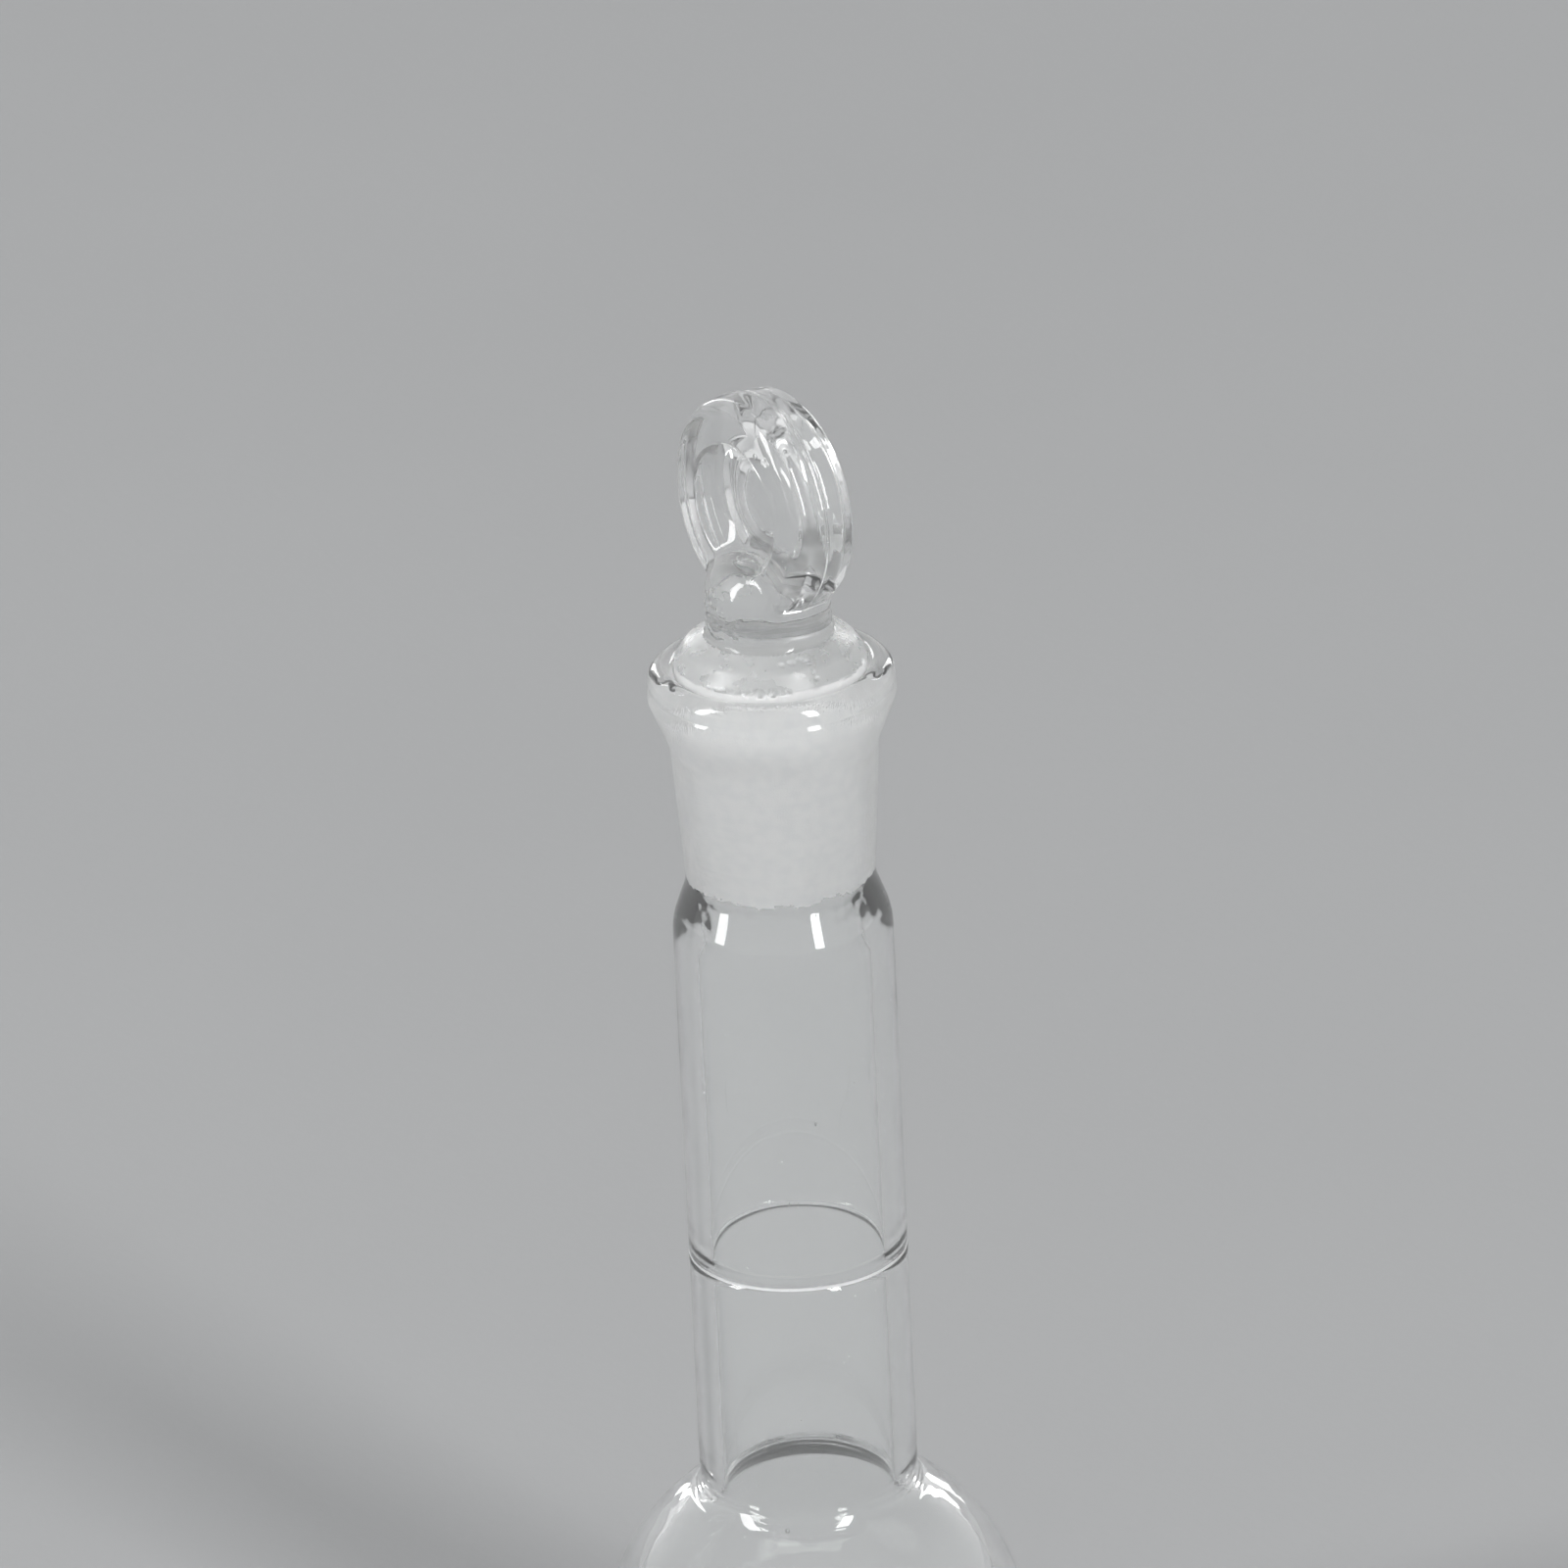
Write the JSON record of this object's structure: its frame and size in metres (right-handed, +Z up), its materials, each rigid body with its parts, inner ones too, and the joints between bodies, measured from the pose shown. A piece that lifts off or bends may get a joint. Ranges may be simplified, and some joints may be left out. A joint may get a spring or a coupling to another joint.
{
  "type": "volumetric flask",
  "caption": "Small one-mark volumetric flask of clear glass: round bulb on a flat foot, long neck with a graduation line, ground joint with a beaded mouth, and a lift-out disc-head stopper.",
  "frame": {"origin": "centre of the base, on the surface that the flask stands on", "axes": "+Z up along the neck's axis; the two dished faces of the stopper's round head look along -Y and +Y, so +X runs across the head"},
  "size_m": [0.0226, 0.0226, 0.0799],
  "materials": {
    "flask_glass": "clear fire-polished laboratory glass, with a cut graduation line",
    "ground_joint_glass": "clear glass outside, fine ground (frosted) cone inside",
    "stopper_glass": "clear pressed glass head and shank, ground (frosted) plug"
  },
  "bodies": {
    "flask": {"bulb": "flask_glass", "neck_tube": "flask_glass", "ground_socket": "ground_joint_glass"},
    "stopper": {"stopper": "stopper_glass"}
  },
  "joints": [
    {"name": "stopper_lift", "type": "slide", "parent": "flask", "child": "stopper", "axis": [0, 0, 1], "range_m": [0, 0.024]}
  ]
}
